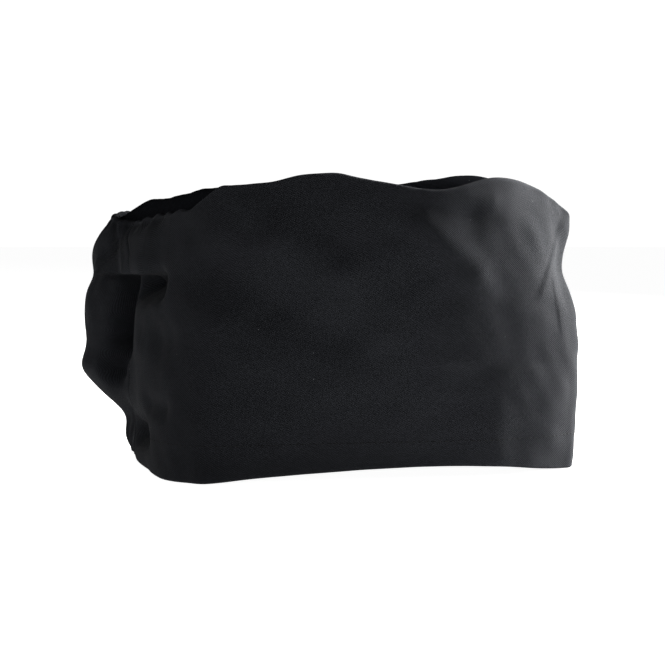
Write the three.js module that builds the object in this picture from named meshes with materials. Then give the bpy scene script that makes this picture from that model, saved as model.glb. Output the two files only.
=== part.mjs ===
// A cook's skull cap of black cotton twill, standing on its rim: a wide side band, a gathered back
// panel that pouches out over its drawn-in hem, and a soft crown sewn in at the top.
// Millimetres, +Z up. The front of the cap points to +X and the rim stands on z = 0.
// Places on the wall are given as "around", the distance along the belly line from the front by way
// of the near side (-Y), and "up", the height above the rim's plane.
import * as THREE from "three";
import { mergeVertices } from "three/addons/utils/BufferGeometryUtils.js";

const CLOTH = 1.6; // thickness of the twill with its turned edges
const GAP = 0.3; // between pieces that are sewn together
const BELLY_HEIGHT = 60; // height of the belly line, where the cap is widest
const ROLL_RADIUS = 2.4; // the cloth's turn at a seam, on its outer side
const SEAM_ALLOWANCE = 7; // cloth turned down inside the top seam
const NEAR_SEAM = 266; // around, band to back panel on the near side
const FAR_SEAM = -253; // around, back panel to band, counted from the front along the far side
const SEAM_LEAN = { up: 88, reach: 18, shift: -20, fade: 45 }; // the near seam is pulled forward here
const CREASE_WIDTH = 3; // across a ledge's edge, from its upper lip to its lower one
const HEM_GATHER = { pitch: 12, depth: 1.1, height: 16, fade: 12 }; // ripples that the elastic draws
const WELD_DISTANCE = 1e-4; // points closer than this become one
const CROWN_CENTRE = new THREE.Vector2(6, 8);
const CROWN_SINK = 1; // the crown's sewn edge lies this far under the band's top
const CROWN_SHOULDER = 0.16; // share of the crown's radius that climbs from the seam to the ridge

// Reads a short table: the first row names the columns, and each further row becomes an object.
function table(columns, ...rows) {
  return rows.map((row) => Object.fromEntries(columns.map((column, i) => [column, row[i]])));
}

// The wall's upright sections, from the front round the near side, the back and the far side.
const SECTIONS = table(
  ["name", "rimX", "rimY", "rimZ", "bellyX", "bellyY", "topX", "topY", "topZ"],
  ["front", 112.5, -19.5, 0, 115, -16.5, 113, 4, 115.6],
  ["front rise", 107, -28, 0.4, 109.7, -27, 105.5, -5, 121],
  ["front near", 98.3, -37.5, 1.3, 101.5, -37, 97, -17, 126.6],
  ["front turn", 77, -53, 4, 79, -54, 77, -42, 131.3],
  ["top dip", 50, -58, 4.6, 51, -65, 50, -61, 125.9],
  ["middle front", 24, -63, 4, 24, -70, 24, -63.5, 129.6],
  ["top crest", -1, -69, 3, -1, -75, 1, -65, 133.3],
  ["middle back", -27, -76, 1.6, -27, -78, -27, -66, 128.8],
  ["near corner", -52, -84, 0, -51, -76, -48, -62, 126.3],
  ["corner rise", -59, -80, 0, -60, -70.3, -56.5, -56, 118.9],
  ["corner turn", -68.5, -71, 0, -70, -60, -66, -46, 116.5],
  ["side", -79.5, -36.5, 0.5, -83, -37, -81, -25, 114.4],
  ["near seam", -87.5, -4, 3, -90, -12, -92, -2, 111.5],
  ["pouch near", -91, 26, 6, -112, 20, -96, 24, 115],
  ["pouch far", -88, 52, 6, -107, 50, -90, 46, 115.5],
  ["far seam", -72, 72, 2, -84, 73, -74, 65, 117],
  ["far back", -42, 81, 0, -46, 82, -42, 74, 121],
  ["far middle", 0, 81, 0, 0, 82, 0, 75, 125],
  ["far front", 42, 67, 0, 43, 71, 41, 63, 127],
  ["far turn", 78, 41, 0, 80, 44, 75, 38, 125],
  ["front far", 102, 8, 0, 106, 12, 101, 16, 118],
);

// The main folds. A soft fold is a dent or a ridge with round ends, and a ledge stands out above
// its line and in below it. The line runs from its start to its end, and depth is outward.
const FOLDS = table(
  ["name", "kind", "startAround", "startUp", "endAround", "endUp", "width", "depth"],
  ["overhang", "ledge", 236, 89, 287, 88, 10, 5],
  ["seam valley", "soft", 267, 80, 270, 60, 7, -16],
  ["seam valley foot", "soft", 270, 60, 277, 43, 5, -7],
  ["upper dimple", "soft", 221, 84, 246, 83, 5.5, -10],
  ["pouch roll", "soft", 288, 42, 325, 42, 9, 5],
  ["pouch back", "soft", 310, 95, 330, 60, 12, 2],
  ["facet bulge", "soft", 284, 106, 320, 101, 9, 3.8],
  ["flap dent", "soft", 300, 86, 318, 85, 6, -2.6],
  ["hem tuck", "soft", 276, 21, 334, 21, 8, -5.5],
  ["lower dimple", "soft", 239, 18, 258, 16, 5.5, -8.5],
  ["small dimple", "soft", 213, 31, 227, 31, 5, -2.5],
  ["soft hollow", "soft", 210, 60, 217, 60, 9, -2.5],
  ["long valley", "soft", 186, 90, 127, 63, 12, -4],
  ["ridge top", "soft", 162, 120, 157, 105, 9, 2.4],
  ["ridge middle", "soft", 157, 105, 127, 89, 9, 1.8],
  ["ridge end", "soft", 127, 89, 116, 63, 9, 2],
  ["light ridge", "soft", 90, 109, 68, 89, 8, 3.3],
  ["light ridge low", "soft", 68, 89, 65, 72, 10, 0.7],
  ["light ridge foot", "soft", 65, 72, 70, 54, 11, 0.7],
  ["front hollow", "soft", 44, 95, 44, 64, 15, -1.6],
  ["top hollow", "soft", 92, 118, 66, 114, 5.5, -2.2],
  ["lip roll", "soft", 88, 123, 58, 121, 4.5, 1.3],
  ["seam shoulder", "soft", 262, 114, 228, 118, 7, -7],
  ["waist crease back", "ledge", 66, 48.5, 84, 49, 9, 0.7],
  ["waist crease front", "ledge", 38, 48, 50, 48.5, 9, -0.8],
  ["front notch", "soft", -18, 91, 6, 90, 12, -7.5],
  ["front crease", "ledge", 10, 109, 31, 82, 5, -0.6],
  ["far sag", "soft", 430, 70, 500, 52, 18, -3],
  ["far fold", "soft", 520, 100, 575, 62, 12, -3],
);

// The crown's ridge line from back to front, and the slack dents in it.
const CROWN_RIDGE = table(
  ["x", "z"],
  [-96, 117],
  [-86, 119.5],
  [-70, 123.2],
  [-50, 126.8],
  [-20, 126.5],
  [20, 126.5],
  [45, 129.5],
  [66, 132.5],
  [85, 128],
  [112, 115],
);
const CROWN_DENTS = table(
  ["name", "x", "y", "reach", "depth"],
  ["middle sag", -10, 12, 34, -7],
  ["front sag", 52, 22, 20, -4],
  ["back sag", -58, 30, 20, -4],
);

// Heights of the wall's rows as shares of the wall, closer round the overhang.
const ROW_SHARES = [
  0, 0.06, 0.12, 0.18, 0.24, 0.3, 0.36, 0.43, 0.5, 0.56, 0.62, 0.67, 0.71, 0.75, 0.79, 0.84, 0.91, 1,
];
const ROLL_STEPS = 4;
const CROWN_RINGS = [0.97, 0.93, 0.88, 0.82, 0.66, 0.45, 0.22];

// One closed curve through every section at one level.
function level(pick) {
  const curve = new THREE.CatmullRomCurve3(SECTIONS.map(pick), true, "centripetal");
  curve.arcLengthDivisions = 1500;
  return curve;
}

const rimCurve = level((s) => new THREE.Vector3(s.rimX, s.rimY, s.rimZ));
const bellyCurve = level((s) => new THREE.Vector3(s.bellyX, s.bellyY, BELLY_HEIGHT));
const topCurve = level((s) => new THREE.Vector3(s.topX, s.topY, s.topZ));
const GIRTH = bellyCurve.getLength();

// Column spacing along each piece, closer where the folds are tight.
const BAND_RUNS = table(
  ["from", "to", "columns"],
  [FAR_SEAM, -25, 17],
  [-25, 60, 11],
  [60, 186, 15],
  [186, NEAR_SEAM, 16],
);
const PANEL_RUNS = table(
  ["from", "to", "columns"],
  [NEAR_SEAM, 302, 9],
  [302, GIRTH + FAR_SEAM, 9],
);

// The curves' own parameter for a distance around the belly.
function parameterAt(around) {
  return bellyCurve.getUtoTmapping(0, THREE.MathUtils.euclideanModulo(around, GIRTH));
}

// The level direction that points straight out of the cap.
function outwardAt(parameter) {
  const tangent = bellyCurve.getTangent(parameter);
  return new THREE.Vector3(-tangent.y, tangent.x, 0).normalize();
}

// How far the shortest way from one place around the belly to another goes, signed.
function aroundBetween(from, to) {
  return THREE.MathUtils.euclideanModulo(to - from + GIRTH / 2, GIRTH) - GIRTH / 2;
}

// The wall before its folds: a parabola through rim, belly and top, at a share of the wall's height.
function smoothWall(parameter, share) {
  const rim = rimCurve.getPoint(parameter);
  const belly = bellyCurve.getPoint(parameter);
  const top = topCurve.getPoint(parameter);
  const low = Math.max(rim.z, 0);
  const high = top.z;
  const up = THREE.MathUtils.lerp(low, high - ROLL_RADIUS, share);
  const rimWeight = ((up - BELLY_HEIGHT) * (up - high)) / ((low - BELLY_HEIGHT) * (low - high));
  const bellyWeight = ((up - low) * (up - high)) / ((BELLY_HEIGHT - low) * (BELLY_HEIGHT - high));
  const topWeight = ((up - low) * (up - BELLY_HEIGHT)) / ((high - low) * (high - BELLY_HEIGHT));
  const place = new THREE.Vector3()
    .addScaledVector(rim, rimWeight)
    .addScaledVector(belly, bellyWeight)
    .addScaledVector(top, topWeight);
  return place.setZ(up);
}

// Outward shift of one fold at a place on the wall.
function foldShift(fold, around, up) {
  const run = new THREE.Vector2(aroundBetween(fold.startAround, fold.endAround), fold.endUp - fold.startUp);
  const length = run.length();
  const along = run.clone().normalize();
  const place = new THREE.Vector2(aroundBetween(fold.startAround, around), up - fold.startUp);
  const distanceAlong = place.dot(along);
  const across = along.cross(place);
  const past = Math.max(-distanceAlong, distanceAlong - length, 0);
  if (fold.kind === "soft") {
    return fold.depth * Math.exp(-(past ** 2 + across ** 2) / fold.width ** 2);
  }
  const step = Math.tanh((2 * across) / CREASE_WIDTH);
  return fold.depth * step * Math.exp(-Math.abs(across) / fold.width - (past / fold.width) ** 2);
}

// The elastic's ripples along the back panel's hem.
function gatherShift(around, up) {
  const inside = Math.min(around - NEAR_SEAM, GIRTH + FAR_SEAM - around) / HEM_GATHER.fade;
  const strength = THREE.MathUtils.clamp(inside, 0, 1) * Math.exp(-((up / HEM_GATHER.height) ** 2));
  const turn = (2 * Math.PI * (around - NEAR_SEAM)) / HEM_GATHER.pitch;
  return HEM_GATHER.depth * strength * Math.cos(turn);
}

// Slides a place around the cap, so that the near seam leans as it is pulled.
function leanedAround(around, up) {
  const offset = aroundBetween(NEAR_SEAM, around);
  const nearness = Math.max(0, 1 - Math.abs(offset) / SEAM_LEAN.fade);
  const pull = Math.exp(-(((up - SEAM_LEAN.up) / SEAM_LEAN.reach) ** 2));
  return around + SEAM_LEAN.shift * nearness * pull;
}

// A place on the wall: its outer point and the direction out of the cap.
function wallAt(around, share) {
  const firstUp = smoothWall(parameterAt(around), share).z;
  const leaned = THREE.MathUtils.euclideanModulo(leanedAround(around, firstUp), GIRTH);
  const parameter = parameterAt(leaned);
  const point = smoothWall(parameter, share);
  const out = outwardAt(parameter);
  const ripple = gatherShift(leaned, point.z);
  const shift = FOLDS.reduce((sum, fold) => sum + foldShift(fold, leaned, point.z), ripple);
  return { point: point.addScaledVector(out, shift), out };
}

// A point moved into the cap by a distance and up by another.
function inset(wall, inward, rise) {
  const point = wall.point.clone().addScaledVector(wall.out, -inward);
  return point.setZ(point.z + rise);
}

// The outer and inner points of one upright strip of the wall, over its top and down inside.
function wallStrip(around) {
  const walls = ROW_SHARES.map((share) => wallAt(around, share));
  const outer = walls.map((wall) => wall.point);
  const inner = walls.map((wall) => inset(wall, CLOTH, 0));
  const top = walls.at(-1);
  for (let step = 1; step <= ROLL_STEPS; step += 1) {
    const turn = (Math.PI * step) / ROLL_STEPS;
    for (const [side, radius] of [[outer, ROLL_RADIUS], [inner, ROLL_RADIUS - CLOTH]]) {
      side.push(inset(top, ROLL_RADIUS - radius * Math.cos(turn), radius * Math.sin(turn)));
    }
  }
  outer.push(inset(top, 2 * ROLL_RADIUS, -SEAM_ALLOWANCE));
  inner.push(inset(top, 2 * ROLL_RADIUS - CLOTH, -SEAM_ALLOWANCE));
  return { outer, inner };
}

// Height of the crown's ridge line above a place on the cap's length.
function ridgeHeight(x) {
  const next = CROWN_RIDGE.findIndex((row) => row.x > x);
  if (next < 1) return CROWN_RIDGE.at(next).z;
  const [back, front] = [CROWN_RIDGE[next - 1], CROWN_RIDGE[next]];
  return THREE.MathUtils.mapLinear(x, back.x, front.x, back.z, front.z);
}

// How far the crown sags at a place seen from above.
function crownSag(x, y) {
  return CROWN_DENTS.reduce((sum, dent) => {
    const distance = Math.hypot(x - dent.x, y - dent.y);
    return sum + dent.depth * Math.exp(-((distance / dent.reach) ** 2));
  }, 0);
}

// How much of its height the crown has gained at a share of the way in from its edge.
function crownClimb(inward) {
  const left = Math.max(0, 1 - inward / CROWN_SHOULDER);
  return Math.sqrt(1 - left ** 2);
}

// The crown's outer and inner points from its turned-down edge in to the last ring.
function crownStrip(around) {
  const top = wallAt(around, 1);
  const edge = 2 * ROLL_RADIUS + GAP;
  const turnStart = -CROWN_SINK;
  const outer = [inset(top, edge, -SEAM_ALLOWANCE)];
  const inner = [inset(top, edge + CLOTH, -SEAM_ALLOWANCE)];
  const quarterSteps = ROLL_STEPS / 2;
  for (let step = 0; step <= quarterSteps; step += 1) {
    const turn = (Math.PI * step) / ROLL_STEPS;
    for (const [side, radius] of [[outer, ROLL_RADIUS], [inner, ROLL_RADIUS - CLOTH]]) {
      const inward = edge + ROLL_RADIUS - radius * Math.cos(turn);
      side.push(inset(top, inward, turnStart + radius * Math.sin(turn)));
    }
  }
  const sewn = outer.at(-1);
  for (const share of CROWN_RINGS) {
    const x = THREE.MathUtils.lerp(CROWN_CENTRE.x, sewn.x, share);
    const y = THREE.MathUtils.lerp(CROWN_CENTRE.y, sewn.y, share);
    const climb = crownClimb(1 - share);
    const z = THREE.MathUtils.lerp(sewn.z, ridgeHeight(x) + crownSag(x, y), climb);
    outer.push(new THREE.Vector3(x, y, z));
    inner.push(new THREE.Vector3(x, y, z - CLOTH));
  }
  return { outer, inner };
}

// Closes strips of outer and inner points into one sheet of cloth with its thickness.
// A closed sheet joins its last strip to its first, and a pole closes its last ring.
function clothSheet(strips, { closed = false, pole = null } = {}) {
  const positions = [];
  const indices = [];
  const rows = strips[0].outer.length;
  const add = (point) => positions.push(point.x, point.y, point.z) / 3 - 1;
  const outer = strips.map((strip) => strip.outer.map(add));
  const inner = strips.map((strip) => strip.inner.map(add));
  const quad = (a, b, c, d) => indices.push(a, b, c, a, c, d);
  const last = strips.length - 1;
  const spans = closed ? strips.length : last;
  for (let i = 0; i < spans; i += 1) {
    const j = (i + 1) % strips.length;
    for (let k = 0; k < rows - 1; k += 1) {
      quad(outer[i][k], outer[i][k + 1], outer[j][k + 1], outer[j][k]);
      quad(inner[i][k], inner[j][k], inner[j][k + 1], inner[i][k + 1]);
    }
    quad(outer[i][0], outer[j][0], inner[j][0], inner[i][0]);
    if (!pole) quad(outer[i][rows - 1], inner[i][rows - 1], inner[j][rows - 1], outer[j][rows - 1]);
  }
  if (pole) {
    const above = add(pole);
    const below = add(pole.clone().setZ(pole.z - CLOTH));
    for (let i = 0; i < spans; i += 1) {
      const j = (i + 1) % strips.length;
      indices.push(outer[i][rows - 1], above, outer[j][rows - 1]);
      indices.push(inner[i][rows - 1], inner[j][rows - 1], below);
    }
  }
  if (!closed) {
    for (let k = 0; k < rows - 1; k += 1) {
      quad(outer[0][k], inner[0][k], inner[0][k + 1], outer[0][k + 1]);
      quad(outer[last][k], outer[last][k + 1], inner[last][k + 1], inner[last][k]);
    }
  }
  const geometry = new THREE.BufferGeometry();
  geometry.setAttribute("position", new THREE.Float32BufferAttribute(positions, 3));
  geometry.setIndex(indices);
  const welded = mergeVertices(geometry, WELD_DISTANCE);
  welded.computeVertexNormals();
  return welded;
}

// The places around the cap where a piece's columns stand, from the first run's start to the end.
function columnPlaces(runs) {
  const places = runs.flatMap((run) =>
    Array.from({ length: run.columns }, (_, i) =>
      THREE.MathUtils.lerp(run.from, run.to, i / run.columns),
    ),
  );
  return [...places, runs.at(-1).to];
}

// The same places with the first and last drawn in by half the gap to the next piece.
function gappedPlaces(runs) {
  const places = columnPlaces(runs);
  places[0] += GAP / 2;
  places[places.length - 1] -= GAP / 2;
  return places;
}

// A named mesh of black twill with its own colour and roughness.
function twillMesh(name, geometry, colour, roughness) {
  const material = new THREE.MeshStandardMaterial({ color: colour, roughness, metalness: 0 });
  const mesh = new THREE.Mesh(geometry, material);
  mesh.name = name;
  return mesh;
}

function makeSideBand() {
  const strips = gappedPlaces(BAND_RUNS).map(wallStrip);
  return twillMesh("side_band", clothSheet(strips), 0x1b1d20, 0.86);
}

function makeBackPanel() {
  const strips = gappedPlaces(PANEL_RUNS).map(wallStrip);
  return twillMesh("back_panel", clothSheet(strips), 0x1a1c1f, 0.88);
}

function makeCrown() {
  const places = [...gappedPlaces(BAND_RUNS), ...gappedPlaces(PANEL_RUNS)];
  const strips = places.map(crownStrip);
  const sag = crownSag(CROWN_CENTRE.x, CROWN_CENTRE.y);
  const height = ridgeHeight(CROWN_CENTRE.x) + sag;
  const pole = new THREE.Vector3(CROWN_CENTRE.x, CROWN_CENTRE.y, height);
  return twillMesh("crown_top", clothSheet(strips, { closed: true, pole }), 0x191b1e, 0.88);
}

const cap = new THREE.Group();
cap.name = "skull_cap";
cap.add(makeSideBand(), makeBackPanel(), makeCrown());

export default cap;
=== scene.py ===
"""A cook's skull cap of black cotton twill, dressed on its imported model.

The cap stands on its rim: a wide side band, a gathered back panel that pouches out over its
drawn-in hem, and a soft crown sewn in at the top. Each piece is one closed sheet of cloth with its
folds, seams and turned edges.

The front points to +X and the near side to -Y. Tables and sizes are in millimetres, as a pattern
cutter writes them, and every mesh is made in metres. A place on the wall is given as "around", the
distance along the belly line from the front by way of the near side, and "up", the height above
the plane that the rim stands on.
"""

import logging
import math
from dataclasses import dataclass, field
from enum import Enum

import bpy
import numpy as np
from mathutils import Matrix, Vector


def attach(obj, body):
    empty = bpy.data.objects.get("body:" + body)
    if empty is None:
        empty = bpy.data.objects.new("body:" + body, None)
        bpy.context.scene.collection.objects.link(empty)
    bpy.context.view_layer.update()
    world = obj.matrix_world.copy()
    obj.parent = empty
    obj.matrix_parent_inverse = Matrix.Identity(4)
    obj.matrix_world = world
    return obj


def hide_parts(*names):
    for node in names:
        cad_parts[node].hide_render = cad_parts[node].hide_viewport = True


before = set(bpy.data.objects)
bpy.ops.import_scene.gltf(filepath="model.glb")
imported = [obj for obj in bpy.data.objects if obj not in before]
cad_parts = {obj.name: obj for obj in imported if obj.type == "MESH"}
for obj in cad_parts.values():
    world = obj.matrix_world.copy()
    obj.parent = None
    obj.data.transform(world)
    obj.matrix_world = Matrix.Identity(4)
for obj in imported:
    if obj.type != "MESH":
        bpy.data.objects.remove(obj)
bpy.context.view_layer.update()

Array = np.ndarray
Colour = tuple[float, float, float, float]
Piece = bpy.types.Object
Plug = bpy.types.NodeSocket
Face = tuple[int, ...]
Socket = tuple[str, str, float | None]
Inputs = dict[str | int, object]
log = logging.getLogger("skull_cap")

MM = 0.001
BODY = "root"
CLOTH_MAP = "cloth"
# marks each point with the rim's wear and with a painted highlight along the roll over the top seam
WEAR_AND_HIGHLIGHT_ATTRIBUTE = "edge_wear"

CLOTH = 1.6  # thickness of the cloth
GAP = 0.3  # between the pieces at the side seams
SEWN_GAP = 0.03  # between the crown's turned edge and the wall's, which the seam draws together
BELLY_HEIGHT = 60.0
WALL_HEIGHT = 118.0  # of a usual section, from its rim to the roll over the top seam
ROLL_RADIUS = 2.4  # of the cloth's turn over the top seam
SEAM_ALLOWANCE = 7.0  # cloth turned down inside the top seam
NEAR_SEAM = 266.0  # around, from the band to the back panel on the near side
FAR_SEAM = -253.0  # around, from the back panel to the band, counted along the far side
HEM_DEPTH = 16.0  # height of the stitches that hold the hem
INNER_STEP = 3  # outer rows of a sheet of cloth for each inner row
CROWN_CENTRE = (6.0, 8.0)
CROWN_SINK = 1.0  # how far the crown's roll lies below the wall's
CROWN_SHOULDER = 0.14  # share of the way in over which the crown climbs to its free height


class FoldKind(Enum):
    """How a fold shapes the cloth across its line."""

    SOFT = "a dent or a ridge with round ends"
    LEDGE = "cloth that stands out above its line and in below it"


@dataclass(frozen=True)
class Section:
    """One upright section of the wall, through its rim, its belly and its top."""

    name: str
    rim_x: float
    rim_y: float
    rim_z: float
    belly_x: float
    belly_y: float
    top_x: float
    top_y: float
    top_z: float


@dataclass(frozen=True)
class Fold:
    """A fold along a straight line on the wall. Its depth is outward."""

    name: str
    start_around: float
    start_up: float
    end_around: float
    end_up: float
    width: float
    depth: float
    crease: float = 1.2
    droop: float = 0.0
    kind: FoldKind = FoldKind.SOFT


@dataclass(frozen=True)
class Pucker:
    """A run of small gathers that the thread draws along the top seam."""

    start: float
    end: float
    pitch: float
    depth: float
    rise: float


@dataclass(frozen=True)
class Dent:
    """A slack dent in the crown, seen from above."""

    name: str
    x: float
    y: float
    reach: float
    depth: float


SECTIONS = (
    Section("front", 112.5, -19.5, 0, 115, -16.5, 113, 4, 115.6),
    Section("front rise", 107, -28, 0.4, 109.7, -27, 105.5, -5, 121),
    Section("front near", 98.3, -37.5, 1.3, 101.5, -37, 97, -17, 126.6),
    Section("front turn", 77, -53, 4, 79, -54, 77, -42, 131.3),
    Section("top dip", 50, -58, 4.6, 51, -65, 50, -61, 125.9),
    Section("middle front", 24, -63, 4, 24, -70, 24, -63.5, 129.6),
    Section("top crest", -1, -69, 3, -1, -75, 1, -65, 133.3),
    Section("middle back", -27, -76, 1.6, -27, -78, -27, -66, 128.8),
    Section("near corner", -52, -84, 0, -51, -76, -48, -62, 126.3),
    Section("corner rise", -59, -80, 0, -60, -70.3, -56.5, -56, 118.9),
    Section("corner turn", -68.5, -71, 0, -70, -60, -66, -46, 116.5),
    Section("side", -79.5, -36.5, 0.5, -83, -37, -81, -25, 114.4),
    Section("near seam", -87.5, -4, 3, -90, -12, -92, -2, 111.5),
    Section("pouch near", -91, 26, 6, -112, 20, -96, 24, 115),
    Section("pouch far", -88, 52, 6, -107, 50, -90, 46, 115.5),
    Section("far seam", -72, 72, 2, -84, 73, -74, 65, 117),
    Section("far back", -42, 81, 0, -46, 82, -42, 74, 121),
    Section("far middle", 0, 81, 0, 0, 82, 0, 75, 125),
    Section("far front", 42, 67, 0, 43, 71, 41, 63, 127),
    Section("far turn", 78, 41, 0, 80, 44, 75, 38, 125),
    Section("front far", 102, 8, 0, 106, 12, 101, 16, 118),
)

FOLDS = (
    Fold("overhang", 236, 89, 287, 88, 10, 5, crease=1.8, droop=2.5, kind=FoldKind.LEDGE),
    Fold("seam valley", 267, 80, 270, 60, 7, -20),
    Fold("seam valley foot", 270, 60, 277, 43, 5, -7),
    Fold("upper dimple", 221, 84, 246, 83, 5.5, -12),
    Fold("upper stitch pull", 269, 104, 292, 92.5, 0.9, -0.8),
    Fold("lower stitch pull", 269, 100.5, 292, 89.5, 0.9, -0.8),
    Fold("pouch roll", 288, 42, 325, 42, 9, 5),
    Fold("pouch back", 310, 95, 330, 60, 12, 2),
    Fold("facet bulge", 284, 106, 320, 101, 9, 3.8),
    Fold("flap dent", 300, 86, 318, 85, 6, -2.6),
    Fold("hem tuck", 276, 21, 334, 21, 8, -5.5),
    Fold("lower dimple", 239, 18, 258, 16, 5.5, -8.5),
    Fold("small dimple", 213, 31, 227, 31, 5, -2.5),
    Fold("soft hollow", 210, 60, 217, 60, 9, -2.5),
    Fold("long valley", 186, 90, 127, 63, 12, -4),
    Fold("ridge top", 162, 120, 157, 105, 9, 2.4),
    Fold("ridge middle", 157, 105, 127, 89, 9, 1.8),
    Fold("ridge end", 127, 89, 116, 63, 9, 2),
    Fold("light ridge", 91, 110.5, 69, 90, 8.5, 3.1),
    Fold("light ridge low", 68, 89, 65, 72, 10, 0.5),
    Fold("light ridge foot", 65, 72, 70, 54, 11, 0.5),
    Fold("top hollow", 90, 119.5, 68, 116.5, 6, -1.9),
    Fold("lip roll", 88, 123, 58, 121, 4.5, 1.3),
    Fold("seam shoulder", 262, 114, 228, 118, 7, -7),
    Fold("waist crease back", 66, 48.5, 84, 49, 9, 0.7, crease=5.0, kind=FoldKind.LEDGE),
    Fold("waist crease front", 38, 48, 50, 48.5, 9, -0.8, crease=5.0, kind=FoldKind.LEDGE),
    Fold("front notch", -18, 91, 6, 90, 13, -6.3),
    Fold("front crease", 10, 109, 31, 82, 5, -0.5, crease=2.6, kind=FoldKind.LEDGE),
    Fold("front sliver", 21, 82, 19, 66, 5, -0.3, crease=2.5, kind=FoldKind.LEDGE),
    Fold("far sag", 430, 70, 500, 52, 18, -3),
    Fold("far fold", 520, 100, 575, 62, 12, -3),
)

PUCKERS = (
    Pucker(176, 268, 10.0, 0.08, 0.6),
    Pucker(268, 366, 8.0, 0.3, 0.45),
    Pucker(-253, -10, 11.0, 0.35, 0.3),
    Pucker(-10, 30, 13.0, 0.2, 0.15),
    Pucker(115, 176, 13.0, 0.2, 0.2),
)

CROWN_RIDGE_X = (-96, -86, -70, -50, -20, 20, 45, 66, 85, 112)
CROWN_RIDGE_Z = (118.5, 120.5, 123.2, 127, 126.5, 126.3, 129.5, 133.4, 128.3, 115)
CROWN_DENTS = (
    Dent("middle sag", -10, 12, 34, -7),
    Dent("front sag", 52, 22, 20, -4),
    Dent("back sag", -58, 30, 20, -4),
)


class ClosedCurve:
    """A closed centripetal Catmull-Rom curve through points, with its length measured."""

    SAMPLES = 6000

    def __init__(self, points: list[tuple[float, float, float]]) -> None:
        """Measures the curve.

        Args:
            points: the places that it passes through, in order.
        """
        self.points = np.asarray(points, float)
        self.parameters = np.linspace(0.0, len(self.points), self.SAMPLES + 1)
        steps = np.diff(self.at(self.parameters), axis=0)
        self.distances = np.r_[0.0, np.cumsum(np.linalg.norm(steps, axis=1))]

    @property
    def length(self) -> float:
        """The curve's whole length."""
        return float(self.distances[-1])

    def at(self, parameter: Array) -> Array:
        """Places on the curve.

        Args:
            parameter: counted in points, so 1.5 is half way from the second to the third.

        Returns:
            The places, with x, y and z along the last axis.
        """
        count = len(self.points)
        first = np.floor(parameter).astype(int)
        share = (parameter - first)[..., None]
        a, b, c, d = (self.points[(first + k) % count] for k in (-1, 0, 1, 2))
        before, here, after = (
            np.sqrt(np.linalg.norm(q - p, axis=-1))[..., None] for p, q in ((a, b), (b, c), (c, d))
        )
        start = ((b - a) / before - (c - a) / (before + here) + (c - b) / here) * here
        end = ((c - b) / here - (d - b) / (here + after) + (d - c) / after) * here
        square = (-3 * b + 3 * c - 2 * start - end) * share**2
        return b + start * share + square + (2 * b - 2 * c + start + end) * share**3

    def parameter_at(self, distance: Array) -> Array:
        """The parameter of a distance along the curve."""
        return np.interp(np.mod(distance, self.length), self.distances, self.parameters)


@dataclass(frozen=True)
class Wrinkles:
    """Shallow random waves of slack cloth, the same on each run."""

    seed: int = 7
    waves: int = 42
    shortest: float = 11.0
    longest: float = 46.0
    depth: float = 0.34

    def shift(self, around: Array, up: Array, girth: float) -> Array:
        """Outward shift of the waves.

        Args:
            around: places around the cap.
            up: heights.
            girth: the distance once around, over which the waves repeat.

        Returns:
            The shift at each place.
        """
        random = np.random.default_rng(self.seed)
        total = np.zeros(np.broadcast(around, up).shape)
        for _ in range(self.waves):
            wavelength = random.uniform(self.shortest, self.longest)
            heading = random.uniform(0, math.pi)
            turns = round(girth * math.cos(heading) / wavelength)
            rise = 2 * math.pi * math.sin(heading) / wavelength
            phase = random.uniform(0, 2 * math.pi)
            size = math.sqrt(wavelength / self.longest)
            total += size * np.sin(2 * math.pi * turns * around / girth + rise * up + phase)
        return self.depth * total * math.sqrt(2 / self.waves)


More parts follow.
